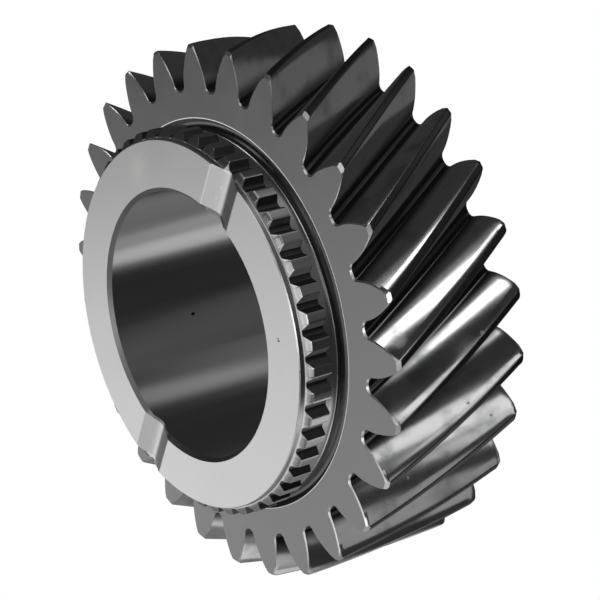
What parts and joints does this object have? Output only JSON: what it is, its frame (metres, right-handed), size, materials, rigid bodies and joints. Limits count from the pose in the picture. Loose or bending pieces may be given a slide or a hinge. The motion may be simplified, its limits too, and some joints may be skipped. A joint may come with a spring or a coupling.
{
  "type": "transmission gear",
  "caption": "Helical transmission gear in bare steel with a ring of dog teeth, a ground thrust face with two oil notches and a plain bore.",
  "frame": {"origin": "centre of the bore at the plain back face, which is the face the gear stands on", "axes": "+Z along the bore from the back face to the thrust face; +X through one of the two oil notches in the thrust face"},
  "size_m": [0.15, 0.15, 0.0562],
  "materials": {
    "gear_steel": "satin"
  },
  "bodies": {
    "root": {"gear_body": "gear_steel"}
  },
  "joints": []
}
